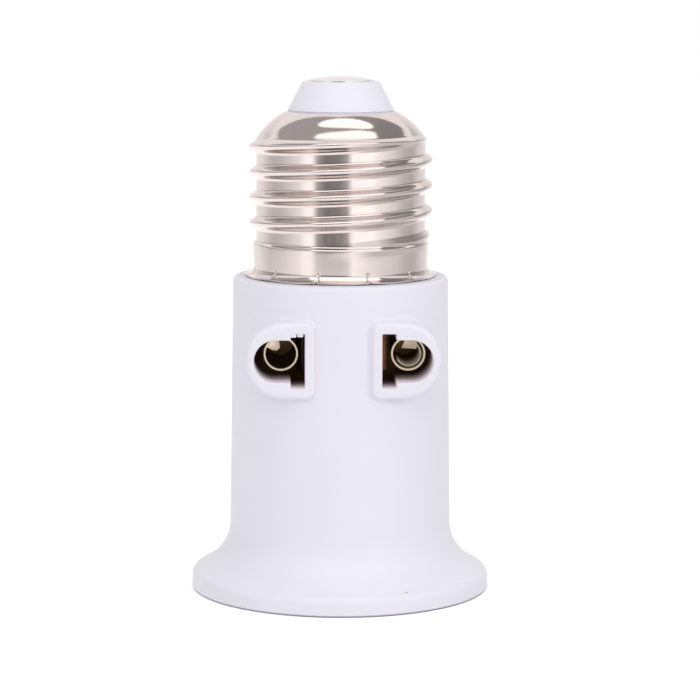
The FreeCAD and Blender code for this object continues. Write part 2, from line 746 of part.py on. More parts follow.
# Bent strips on the base that join the outlet, the socket and the cap
def make_strip(name, side, foot_points, hole_x, hole_y):
    body = new_body(name)
    foot = outline(new_sketch(body, "foot_outline", "XY_Plane", "base_top"), foot_points)
    pad(body, "foot", foot, "strip_sheet")
    riser = outline(new_sketch(body, "riser_outline", "XZ_Plane", "-contact_setback"), [
        (f"{side} * riser_inner_x", "base_top"),
        (f"{side} * riser_outer_x", "base_top"),
        (f"{side} * riser_outer_x", "riser_top"),
        (f"{side} * riser_inner_x", "riser_top"),
    ])
    pad(body, "riser", riser, "strip_sheet", True)
    foot_hole = circle(new_sketch(body, "foot_hole_circle", "XY_Plane", "base_top + strip_sheet"),
                       hole_x, hole_y, "rivet_radius + rivet_clearance")
    pocket(body, "foot_hole", foot_hole, "2 * strip_sheet")
    return body


def make_line_strip():
    back = "(contact_setback + strip_sheet)"
    half = "(strip_foot_width / 2)"
    return make_strip("line_strip", 1, [
        (f"-{half}", f"-tongue_rivet_offset - {half}"),
        (half, f"-tongue_rivet_offset - {half}"),
        (f"riser_inner_x + 2 * {half}", f"contact_setback - {half}"),
        (f"riser_inner_x + 2 * {half}", back),
        ("riser_inner_x", back),
        (f"-{half}", f"-tongue_rivet_offset + {half}"),
    ], "0", "-tongue_rivet_offset")


def make_neutral_strip():
    back = "(contact_setback + strip_sheet)"
    half = "(strip_foot_width / 2)"
    return make_strip("neutral_strip", -1, [
        (f"-shell_rivet_offset - {half}", f"-{half}"),
        (f"-shell_rivet_offset + {half}", f"-{half}"),
        (f"-riser_inner_x - {half}", f"contact_setback - {half}"),
        (f"-riser_inner_x - {half}", back),
        ("-riser_outer_x", back),
        (f"-shell_rivet_offset - {half}", f"{half}"),
    ], "-shell_rivet_offset", "0")


# Flat links, spot-welded to the backs of the risers, that run up inside the neck
def make_line_link():
    """Up the neck to the middle, then folded under the contact's shank."""
    body = new_body("line_link")
    half = "(link_width / 2)"
    side = "riser_inner_x"
    plate = outline(new_sketch(body, "plate_outline", "XZ_Plane", "-link_front"), [
        (side, "outlet_z"),
        (f"{side} + link_width", "outlet_z"),
        (f"{side} + link_width", "deck_z"),
        (half, "deck_z + link_slant"),
        (half, "shank_end"),
        (f"-{half}", "shank_end"),
        (f"-{half}", "deck_z + link_slant"),
        (side, "deck_z"),
    ])
    pad(body, "plate", plate, "link_sheet", True)
    fold = outline(new_sketch(body, "fold_outline", "XY_Plane", "shank_end"), [
        (f"-{half}", "-contact_shank_radius"),
        (half, "-contact_shank_radius"),
        (half, "link_back"),
        (f"-{half}", "link_back"),
    ])
    pad(body, "fold", fold, "link_sheet", True)
    return body


def make_neutral_link():
    """Up past the deck, then out through the neck's slot to the inside of the screw shell."""
    body = new_body("neutral_link")
    shell_x = "sqrt((cap_band_radius - cap_sheet)^2 - link_back * link_back) - link_clearance"
    plate = outline(new_sketch(body, "plate_outline", "XZ_Plane", "-link_front"), [
        ("-riser_inner_x - link_width", "outlet_z"),
        ("-riser_inner_x", "outlet_z"),
        ("-riser_inner_x", "link_exit_z + link_width / 2"),
        (f"-({shell_x})", "link_exit_z + link_width / 2"),
        (f"-({shell_x})", "link_exit_z - link_width / 2"),
        ("-riser_inner_x - link_width", "link_exit_z - link_width / 2"),
    ])
    pad(body, "plate", plate, "link_sheet", True)
    return body


def main():
    parts = [
        make_housing(),
        make_cap_shell(),
        make_centre_contact(),
        make_socket_shell(),
        make_socket_base(),
        make_centre_tongue(),
        make_rivet("tongue_rivet", "0", "-tongue_rivet_offset", "(base_bottom - tongue_sheet)",
                   "(base_top + strip_sheet)"),
        make_rivet("shell_rivet", "-shell_rivet_offset", "0", "(base_bottom - socket_sheet)",
                   "(base_top + strip_sheet)"),
        make_base_screws(),
        make_line_strip(),
        make_neutral_strip(),
        make_line_link(),
        make_neutral_link(),
    ]
    for name, side in (("left", -1), ("right", 1)):
        parts.append(make_sleeve(f"outlet_sleeve_{name}", side))
        parts.append(make_leaf(f"blade_leaf_{name}", side))
    write_parts(parts)


def write_parts(parts):
    """Check every object of the document, then write one STEP file for each sub-part."""
    doc.recompute()
    for thing in doc.Objects:
        if "Invalid" in thing.State or "Error" in thing.State:
            raise RuntimeError(f"{thing.Name} failed: {thing.State}")
    for thing in parts:
        if thing.Shape.isNull() or not thing.Shape.isValid():
            raise RuntimeError(f"{thing.Label} has no valid shape")
    os.makedirs("parts", exist_ok=True)
    for thing in parts:
        thing.Shape.exportStep(f"parts/{thing.Label}.step")
        print(f"{thing.Label}: {len(thing.Shape.Solids)} solid, {thing.Shape.Volume:.1f} mm3")


main()
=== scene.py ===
# Lamp socket adapter: a moulded white body with a rolled nickel screw cap on top,
# a lamp socket in its flared foot and a two-pin outlet in its side.
# Shapes are written in millimetres and become metres where a mesh is made. Finishes, the inputs
# of the thread tree, the lamps and the room are in metres.
import math

import bmesh
import bpy
from mathutils import Matrix, Vector


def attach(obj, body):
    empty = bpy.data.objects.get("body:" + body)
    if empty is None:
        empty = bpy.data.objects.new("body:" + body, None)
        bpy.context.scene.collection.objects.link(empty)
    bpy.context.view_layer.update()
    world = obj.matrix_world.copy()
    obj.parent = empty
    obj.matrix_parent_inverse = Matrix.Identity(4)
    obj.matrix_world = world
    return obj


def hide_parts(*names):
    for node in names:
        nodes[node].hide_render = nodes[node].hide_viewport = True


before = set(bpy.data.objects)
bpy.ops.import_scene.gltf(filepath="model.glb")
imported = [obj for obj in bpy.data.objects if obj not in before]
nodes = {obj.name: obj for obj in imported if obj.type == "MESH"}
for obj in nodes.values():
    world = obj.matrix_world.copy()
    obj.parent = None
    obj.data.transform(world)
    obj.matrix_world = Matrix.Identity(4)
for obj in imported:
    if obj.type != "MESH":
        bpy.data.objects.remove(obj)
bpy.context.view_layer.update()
scene = bpy.context.scene
MM = 0.001

# ---------------------------------------------------------------- sizes (mm)
OUTLET_Z = 35.0
DECK_Z = 45.3
SHOULDER_Z = 64.9
MOUTH_Z = 68.75
NOSE_Z = 73.05
PAD_FACE = 15.997
BARREL_TOP = 15.4
BARREL_FOOT = 16.048
DRAFT = math.radians(0.82)
RIM_R = 21.458
RIM_H = 2.52
BORE_R = 14.0
ROOT_R = 12.1
CREST = 1.0
PITCH = 3.629
# a pad: straight toward the middle at PAD_INNER, and round about PAD_END at its outer end
PAD_INNER, PAD_END, PAD_HALF, PAD_WALL = 3.94, 8.28, 5.42, 0.75
# its opening: a blade slot, and a round way for a pin
SLOT_INNER, SLOT_OUTER, SLOT_HALF = 5.35, 7.35, 3.8
PIN_X, PIN_R = 9.5, 2.95
# the screw shell: inner radius of its sheet, and where its plain band gives way to the thread
CAP_INNER, BAND_TOP = 11.85, 50.7
# the lamp socket's sleeve: its two radii and the underside of the lip at its top
SOCKET_INNER, SOCKET_OUTER, SOCKET_TOP = 13.3, 13.6, 25.2


# ---------------------------------------------------------------- small tools
def linear(code):
    """An sRGB hex colour as linear values."""
    parts = [int(code[i:i + 2], 16) / 255 for i in (1, 3, 5)]
    return [c / 12.92 if c <= 0.04045 else ((c + 0.055) / 1.055) ** 2.4 for c in parts] + [1.0]


def add(tree, kind, feeds=None, **settings):
    """One node with its settings, and a value or a link for each named input."""
    made = tree.nodes.new(kind)
    for key, setting in settings.items():
        setattr(made, key, setting)
    for key, feed in (feeds or {}).items():
        if isinstance(feed, bpy.types.NodeSocket):
            tree.links.new(feed, made.inputs[key])
        else:
            made.inputs[key].default_value = feed
    return made


def mix(tree, share, first, second):
    """A colour between two colours, each a value or a link."""
    return add(tree, "ShaderNodeMix", {"Factor": share, 6: first, 7: second}, data_type="RGBA").outputs[2]


def ramp(tree, value, start, end, low=0.0, high=1.0, kind="LINEAR"):
    """A value led from start and end to low and high, and held past both."""
    feeds = {"Value": value, "From Min": start, "From Max": end, "To Min": low, "To Max": high}
    return add(tree, "ShaderNodeMapRange", feeds, interpolation_type=kind).outputs[0]


def noise(tree, place, size, detail, distortion=0.0):
    """Noise whose patches are about the given size in metres."""
    feeds = {"Vector": place, "Scale": 1 / size, "Detail": detail, "Distortion": distortion}
    return add(tree, "ShaderNodeTexNoise", feeds).outputs[0]


def mark(tree, name):
    """What a mesh says at each point under the given name."""
    return add(tree, "ShaderNodeAttribute", attribute_name=name).outputs["Fac"]


def maths(tree):
    """A function that adds one maths node to the tree and gives back its result."""
    def calc(operation, *feeds):
        return add(tree, "ShaderNodeMath", dict(enumerate(feeds)), operation=operation).outputs[0]
    return calc


def arc_points(cx, cy, radius, start, end, count):
    """Points of an arc, angles in degrees."""
    return [(cx + radius * math.cos(math.radians(start + (end - start) * i / count)),
             cy + radius * math.sin(math.radians(start + (end - start) * i / count)))
            for i in range(count + 1)]


def rounded(corners, step=9.0, closed=True):
    """A path of (x, y, radius) corners, each turned into an arc of that radius."""
    path = []
    for i, (x, y, radius) in enumerate(corners):
        ends = not closed and i in (0, len(corners) - 1)
        if radius == 0 or ends:
            path.append((x, y))
            continue
        here = Vector((x, y))
        back = (Vector(corners[i - 1][:2]) - here).normalized()
        ahead = (Vector(corners[(i + 1) % len(corners)][:2]) - here).normalized()
        half = back.angle(ahead) / 2
        centre = here + (back + ahead).normalized() * radius / math.sin(half)
        first = here + back * radius / math.tan(half) - centre
        sweep = math.pi - 2 * half
        turn = -1 if back.x * ahead.y - back.y * ahead.x > 0 else 1
        count = max(2, math.ceil(math.degrees(sweep) / step))
        for k in range(count + 1):
            spot = centre + Matrix.Rotation(turn * sweep * k / count, 2) @ first
            path.append((spot.x, spot.y))
    return path


def fill_rows(path, low, high, step):
    """Extra points on the straight runs of a path between two heights."""
    out = []
    for (x0, y0), (x1, y1) in zip(path, path[1:] + path[:1]):
        out.append((x0, y0))
        length = abs(y1 - y0)
        if length > step and min(y0, y1) < high and max(y0, y1) > low:
            count = math.ceil(length / step)
            for k in range(1, count):
                y = y0 + (y1 - y0) * k / count
                if low <= y <= high:
                    out.append((x0 + (x1 - x0) * k / count, y))
    return out


def even(count):
    """Evenly spaced angles round a circle."""
    return [math.tau * k / count for k in range(count)]


def lathe(bm, path, angles, closed=True):
    """Turn a path of (radius, height) about Z into faces of bm, and give back its rings."""
    rings = []
    for radius, height in path:
        if radius < 1e-6:
            rings.append([bm.verts.new((0, 0, height * MM))])
            continue
        rings.append([bm.verts.new((radius * MM * math.cos(a), radius * MM * math.sin(a), height * MM))
                      for a in angles])
    for low, high in zip(rings, rings[1:] + rings[:1] if closed else rings[1:]):
        for k in range(len(angles)):
            n = (k + 1) % len(angles)
            corners = [low[k % len(low)], low[n % len(low)], high[n % len(high)], high[k % len(high)]]
            corners = list(dict.fromkeys(corners))
            if len(corners) > 2:
                bm.faces.new(corners)
    return rings


def join_rings(bm, fine, coarse):
    """Faces between a ring and one of half as many points."""
    for k in range(len(coarse)):
        n = (k + 1) % len(coarse)
        bm.faces.new((fine[2 * k], fine[2 * k + 1], fine[2 * n], coarse[n], coarse[k]))


def loft(bm, loops):
    """Faces between closed loops of equally many points, each point a vector in metres."""
    rings = [[bm.verts.new(p) for p in loop] for loop in loops]
    for low, high in zip(rings, rings[1:]):
        count = len(low)
        for k in range(count):
            n = (k + 1) % count
            bm.faces.new((low[k], low[n], high[n], high[k]))
    return rings


def close_strip(bm, ring, count):
    """Faces over a ring that runs along a curve of count steps and back beside it."""
    for i in range(count):
        bm.faces.new((ring[i], ring[i + 1], ring[-i - 2], ring[-i - 1]))


def finish_mesh(bm, name, sharp=32.0, merge=1e-6, recalc=True):
    """A plain object from bm: doubles merged, faces outward, smooth with sharp creases."""
    if merge:
        bmesh.ops.remove_doubles(bm, verts=bm.verts, dist=merge)
    if recalc:
        bmesh.ops.recalc_face_normals(bm, faces=bm.faces)
    mesh = bpy.data.meshes.new(name)
    bm.to_mesh(mesh)
    bm.free()
    for polygon in mesh.polygons:
        polygon.use_smooth = True
    mesh.set_sharp_from_angle(angle=math.radians(sharp))
    made = bpy.data.objects.new(name, mesh)
    scene.collection.objects.link(made)
    return made


def applied(thing):
    """The object with its modifiers turned into a plain mesh."""
    graph = bpy.context.evaluated_depsgraph_get()
    mesh = bpy.data.meshes.new_from_object(thing.evaluated_get(graph))
    mesh.name = thing.name
    old = thing.data
    thing.modifiers.clear()
    thing.data = mesh
    bpy.data.meshes.remove(old)
    return thing


def dress(thing, finish, slot, *stands_for):
    """Give a piece its finish and body, and hide the nodes it stands for."""
    thing.data.materials.clear()
    thing.data.materials.append(finish)
    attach(thing, "root")
    if stands_for:
        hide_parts(*stands_for)


# ---------------------------------------------------------------- finishes
def new_finish(name):
    """A bare finish: its material, tree and shader, and the object's own coordinates."""
    made = bpy.data.materials.new(name)
    made.use_nodes = True
    tree = made.node_tree
    tree.nodes.clear()
    shader = add(tree, "ShaderNodeBsdfPrincipled")
    add(tree, "ShaderNodeOutputMaterial", {"Surface": shader.outputs[0]})
    place = add(tree, "ShaderNodeTexCoord").outputs["Object"]
    return made, tree, shader, place


def relief(tree, shader, height, strength, depth=0.00002):
    """Fine relief that only the light sees."""
    bump = add(tree, "ShaderNodeBump", {"Height": height, "Strength": strength, "Distance": depth})
    tree.links.new(bump.outputs[0], shader.inputs["Normal"])


def moulded_plastic():
    """Injection-moulded ABS, white with a cool cast: smooth and softly glossy."""
    made, tree, shader, place = new_finish("moulded_white_abs")
    # broad flow marks from filling the mould, about 14 mm across
    flow = noise(tree, place, 0.014, 2.0)
    tint = mix(tree, flow, linear("#E8E6F0"), linear("#EBE9F3"))
    # painted shade: the cut edge that the body stands on is painted grey, 0.25 mm high, for the contact
    # shadow along its foot
    height = add(tree, "ShaderNodeSeparateXYZ", {0: place}).outputs["Z"]
    tint = mix(tree, ramp(tree, height, 0.00016, 0.00034, 1.0, 0.0), tint, linear("#85828F"))
    # painted shade: the walls are painted dark brown where the attribute "opening" is 1, deep in the outlet
    # tunnels and the closed chamber
    dark = mark(tree, "opening")
    tint = mix(tree, dark, tint, linear("#3E2D2A"))
    # one black speck baked into the rim, 0.25 mm across
    apart = add(tree, "ShaderNodeVectorMath", {0: place, 1: (0.00876, -0.01853, 0.00292)},
                operation="DISTANCE").outputs["Value"]
    tint = mix(tree, ramp(tree, apart, 0.00009, 0.00016, 1.0, 0.0), tint, linear("#2A2428"))
    tree.links.new(tint, shader.inputs["Base Color"])
    # painted light: the walls glow as much as the attribute "inside" says, standing in for light that comes
    # through them: rosy at the mouth, brown behind
    glow = add(tree, "ShaderNodeMath", {0: mark(tree, "inside"), 1: 0.045}, operation="MULTIPLY")
    tree.links.new(mix(tree, dark, linear("#F4DDD8"), linear("#6E4A36")), shader.inputs["Emission Color"])
    tree.links.new(glow.outputs[0], shader.inputs["Emission Strength"])
    # the mould's fine polish marks, about 0.3 mm
    relief(tree, shader, noise(tree, place, 0.0003, 3.0), 0.04)
    tree.links.new(ramp(tree, flow, 0.0, 1.0, 0.34, 0.44), shader.inputs["Roughness"])
    shader.inputs["IOR"].default_value = 1.5
    return made


def plated_nickel(name, colours, rough, streak):
    """Bright plating on deep-drawn steel sheet: mirror-like, with faint upright drawing lines."""
    made, tree, shader, place = new_finish(name)
    shader.inputs["Metallic"].default_value = 1.0
    # drawing lines about 0.25 mm wide and 3.3 mm tall
    stretch = add(tree, "ShaderNodeMapping", {"Vector": place, "Scale": (4000.0, 4000.0, 300.0)})
    lines = noise(tree, stretch.outputs[0], 1.0, 4.0)
    tint = mix(tree, noise(tree, place, 0.004, 3.0), linear(colours[0]), linear(colours[1]))
    tree.links.new(tint, shader.inputs["Base Color"])
    tree.links.new(ramp(tree, lines, 0.35, 0.7, rough, rough + 0.10), shader.inputs["Roughness"])
    relief(tree, shader, lines, streak)
    return made


def rolled_brass(name, colours, rough, metallic=1.0, lip=None):
    """Stamped and rolled brass sheet: rolling lines along the strip and a light tarnish. Painted highlight:
    where the attribute "lip" is 1 the metal is painted pale and glows, for the light of the opening on its
    edges."""
    made, tree, shader, place = new_finish(name)
    shader.inputs["Metallic"].default_value = metallic
    # rolling lines about 0.2 mm wide and 2 mm long, and patches of tarnish about 2 mm across
    stretch = add(tree, "ShaderNodeMapping", {"Vector": place, "Scale": (5000.0, 500.0, 5000.0)})
    lines = noise(tree, stretch.outputs[0], 1.0, 3.0)
    patch = ramp(tree, noise(tree, place, 0.002, 4.0), 0.4, 0.7)
    tint = mix(tree, patch, linear(colours[0]), linear(colours[1]))
    if lip:
        # painted highlight: the sheet's edges are painted pale and glow as much as the attribute "lip" says
        painted_highlight = mark(tree, "lip")
        tint = mix(tree, painted_highlight, tint, linear(lip))
        painted_light = add(tree, "ShaderNodeMath", {0: painted_highlight, 1: 0.42}, operation="MULTIPLY")
        tree.links.new(tint, shader.inputs["Emission Color"])
        tree.links.new(painted_light.outputs[0], shader.inputs["Emission Strength"])
    tree.links.new(tint, shader.inputs["Base Color"])
    tree.links.new(ramp(tree, lines, 0.3, 0.7, rough, rough + 0.15), shader.inputs["Roughness"])
    relief(tree, shader, lines, 0.15)
    return made


def phenolic_board():
    """Pressed phenolic paper board: dark brown, matt, with fibre bundles about 0.8 mm across."""
    made, tree, shader, place = new_finish("pressed_phenolic_board")
    fibre = noise(tree, place, 0.0008, 5.0, 0.6)
    tree.links.new(mix(tree, fibre, linear("#2E211A"), linear("#4A3526")), shader.inputs["Base Color"])
    relief(tree, shader, fibre, 0.2, 0.00003)
    shader.inputs["Roughness"].default_value = 0.6
    return made


WHITE_ABS = moulded_plastic()
NICKEL = plated_nickel("bright_nickel_plate", ("#DED5D2", "#E6DDDA"), 0.05, 0.04)
CONTACT_NICKEL = plated_nickel("polished_nickel_contact", ("#E9E6E6", "#F0EDED"), 0.16, 0.05)
SOCKET_BRASS = rolled_brass("rolled_brass_socket", ("#D9BE86", "#B9975C"), 0.22)
# the sleeves' edges get a painted highlight in the pale colour #FBEBD3
SLEEVE_BRASS = rolled_brass("tinned_brass_sleeve", ("#84705E", "#66554A"), 0.38, metallic=0.8,
                            lip="#FBEBD3")
# painted shade: the leaf in the dark left-hand slot is painted dark brown
LEAF_BRASS = rolled_brass("brass_leaf_painted_shade", ("#4E3B2E", "#3C2E26"), 0.42)
LEAF_COPPER = rolled_brass("copper_blade_leaf", ("#F0B088", "#D8946A"), 0.36, metallic=0.2)
STRIP_BRASS = rolled_brass("stamped_brass_strip", ("#B99C6C", "#94744A"), 0.35)
TONGUE_BRONZE = rolled_brass("spring_bronze_tongue", ("#CF9F6A", "#A87845"), 0.25)
RIVET_BRASS = rolled_brass("turned_brass_rivet", ("#DCC48C", "#BFA065"), 0.25)
SCREW_ZINC = plated_nickel("zinc_plated_screw", ("#B9BBC0", "#C9CBD0"), 0.28, 0.10)
BOARD = phenolic_board()


# ---------------------------------------------------------------- moulded body
def d_outline(side, inset, count=20):
    """The pad's outline: straight toward the middle, round at its outer end."""
    half, corner = PAD_HALF - inset, max(1.3 - inset, 0.25)
    inner = PAD_INNER + inset
    path = arc_points(inner + corner, -half + corner, corner, 180, 270, 6)
    path += arc_points(PAD_END, 0, half, -90, 90, count * 2)
    path += arc_points(inner + corner, half - corner, corner, 90, 180, 6)
    return [(side * x, OUTLET_Z + z) for x, z in path]


def p_outline(side, grow, count=26):
    """The opening's outline: a blade slot, and from its outer side a way that ends round a pin."""
    inner, outer = SLOT_INNER - grow, SLOT_OUTER + grow
    radius, half, soft = PIN_R + grow, SLOT_HALF + grow, 0.15
    path = arc_points(inner + soft, -half + soft, soft, 180, 270, 4)
    path += arc_points(outer - soft, -half + soft, soft, 270, 360, 4)
    path += [(outer, -radius)]
    path += arc_points(PIN_X, 0, radius, -90, 90, count)
    path += [(outer, radius)]
    path += arc_points(outer - soft, half - soft, soft, 0, 90, 4)
    path += arc_points(inner + soft, half - soft, soft, 90, 180, 4)
    return [(side * x, OUTLET_Z + z) for x, z in path]


def at_depth(outline, depth):
    """An outline of (x, z) at a distance in front of the axis, as vectors in metres."""
    return [Vector((x, -depth, z)) * MM for x, z in outline]


def add_pad(bm, side):
    """One raised pad: rounded edge, flat face, opening with a soft mouth, and the tunnel behind it."""
    mouth = 0.16
    outer = [[] for _ in range(17)]
    for (x, z), (in_x, in_z) in zip(d_outline(side, 0), d_outline(side, 0.3)):
        out = Vector((x - in_x, z - in_z)).normalized()

        def barrel(spread):
            radius = BARREL_TOP + (DECK_Z - z - spread * out.y) * math.tan(DRAFT)
            return math.sqrt(radius ** 2 - (x + spread * out.x) ** 2)

        rise = PAD_FACE - barrel(0)
        edge, fillet = min(0.9, 0.5 * rise), min(0.9, 0.45 * rise)
        steps = [(fillet + 0.1, barrel(fillet + 0.1) - 0.5)]
        for k in range(7):
            a = math.pi / 2 * k / 6
            spread = fillet * (1 - math.sin(a))
            steps.append((spread, barrel(spread) + fillet * (1 - math.cos(a))))
        for k in range(9):
            a = math.pi / 2 * k / 8
            steps.append((-edge * (1 - math.cos(a)), PAD_FACE - edge * (1 - math.sin(a))))
        for ring, (spread, y) in zip(outer, steps):
            ring.append(Vector((x + spread * out.x, -y, z + spread * out.y)) * MM)
    inner = []
    for k in range(5):
        a = math.pi / 2 * k / 4
        wider = p_outline(side, mouth * (1 - math.sin(a)))
        inner.append(at_depth(wider, PAD_FACE - mouth * (1 - math.cos(a))))
    for depth in (0.6, 1.5, 3.0, 5.0, 7.0, 9.0):
        inner.append(at_depth(p_outline(side, 0), PAD_FACE - depth))
    outer_rings = loft(bm, outer)
    inner_rings = loft(bm, inner)
    edges = []
    for ring in (outer_rings[-1], inner_rings[0]):
        edges += [bm.edges.get((vert, ring[(k + 1) % len(ring)])) for k, vert in enumerate(ring)]
    bmesh.ops.triangle_fill(bm, edges=edges, use_beauty=True, normal=(0, -1, 0))
    # painted shade: how dark each ring of the opening's wall is painted, darker with depth; painted light:
    # how strongly each ring glows, as if light came through it
    dark = (0, 0, 0, 0, 0.02, 0.05, 0.14, 0.38, 0.75, 0.95, 1)
    glow = (0, 0, 0, 1, 2, 5, 5.6, 3.8, 1.4, 0.5, 0.2)
    for share, painted_light, ring in zip(dark, glow, inner_rings):
        for vert in ring:
            vert[bm.verts.layers.float["opening"]] = share
            vert[bm.verts.layers.float["inside"]] = painted_light


def add_nibs(bm):
    """Moulding left at the top of the left-hand slot: a corner fill and a small proud nib."""
    boxes = ((-7.45, -6.56, 3.36, 3.9, 15.96), (-6.42, -5.62, 3.42, 3.9, 16.02))
    for low_x, high_x, low_z, high_z, front in boxes:
        made = bmesh.ops.create_cube(bm, size=1.0)
        size = Vector((high_x - low_x, 1.2, high_z - low_z)) * MM
        middle = Vector(((low_x + high_x) / 2, 0.6 - front, OUTLET_Z + (low_z + high_z) / 2)) * MM
        for vert in made["verts"]:
            vert.co = Vector(a * b for a, b in zip(vert.co, size)) + middle
        edges = list({edge for vert in made["verts"] for edge in vert.link_edges})
        bmesh.ops.bevel(bm, geom=edges, offset=0.07 * MM, segments=2, affect="EDGES")


def make_body():
    """The whole moulding: rim, flare, barrel, deck, neck and nose, with both outlet pads."""
    flare_top = RIM_H + (RIM_R - BARREL_FOOT) * math.tan(math.radians(32))
    at_flare = BARREL_FOOT - flare_top * math.tan(DRAFT)
    inner_rim = RIM_R - 2.2
    path = rounded([
        (inner_rim, 0, 0.25), (RIM_R, 0, 0.2), (RIM_R - 0.06, RIM_H - 0.05, 1.2),
        (20.62, 2.88, 0.3), (20.48, 2.90, 0.3), (at_flare, flare_top, 7.0),
        (BARREL_TOP, DECK_Z, 0.75), (11.6, DECK_Z, 0.0), (11.6, SHOULDER_Z - 0.25, 0.3),
        (8.78, 66.95, 0.2), (8.09, 67.95, 0.0), (7.67, 68.76, 0.0), (7.38, 68.78, 0.0),
        (7.36, 68.94, 0.0), (7.577, 68.94, 0.05),
        (5.45, NOSE_Z, 0.55), (0, NOSE_Z, 0.0), (0, 70.65, 0.0), (4.97, 70.65, 0.0),
        (4.97, 62.5, 0.0), (9.3, 62.5, 0.0), (9.3, 43.2, 0.0), (BORE_R, 43.2, 0.5),
        (BORE_R, 5.6, 3.0), (inner_rim, 1.66, 0.6)], step=6.0)
    bm = bmesh.new()
    opening = bm.verts.layers.float.new("opening")
    inside = bm.verts.layers.float.new("inside")
    lathe(bm, fill_rows(path, 28.0, 42.0, 0.45), even(256))
    bmesh.ops.remove_doubles(bm, verts=bm.verts, dist=1e-7)
    bmesh.ops.recalc_face_normals(bm, faces=bm.faces)
    # painted shade: the walls of the closed chamber above the base are painted dark, and painted light:
    # they glow a little
    for vert in bm.verts:
        x, y, z = vert.co / MM
        far = math.hypot(x, y)
        vert[opening] = 1.0 if 28.2 < z < 44.0 and far < BORE_R + 0.1 else 0.0
        vert[inside] = 1.0 if far < BORE_R + 0.2 and 27.0 < z < 43.3 else 0.0
    # the walls open behind the pads, out of sight between each pad's side and its tunnel
    hidden = []
    for face in bm.faces:
        c = face.calc_center_median() / MM
        if c.y < 0 and abs(c.z - OUTLET_Z) < 5.0 and math.hypot(c.x, c.y) > 13:
            x, z = abs(c.x), abs(c.z - OUTLET_Z)
            half = PAD_HALF - PAD_WALL
            within = x < PAD_END or math.hypot(x - PAD_END, z) < half
            if x > PAD_INNER + PAD_WALL and z < half and within:
                hidden.append(face)
    bmesh.ops.delete(bm, geom=hidden, context="FACES")
    pads = bmesh.new()
    pads.verts.layers.float.new("opening")
    pads.verts.layers.float.new("inside")
    for side in (1, -1):
        add_pad(pads, side)
    add_nibs(pads)
    bmesh.ops.recalc_face_normals(pads, faces=pads.faces)
    spare = bpy.data.meshes.new("pads")
    pads.to_mesh(spare)
    pads.free()
    bm.from_mesh(spare)
    bpy.data.meshes.remove(spare)
    return finish_mesh(bm, "moulded_body", sharp=38.0, merge=0, recalc=False)


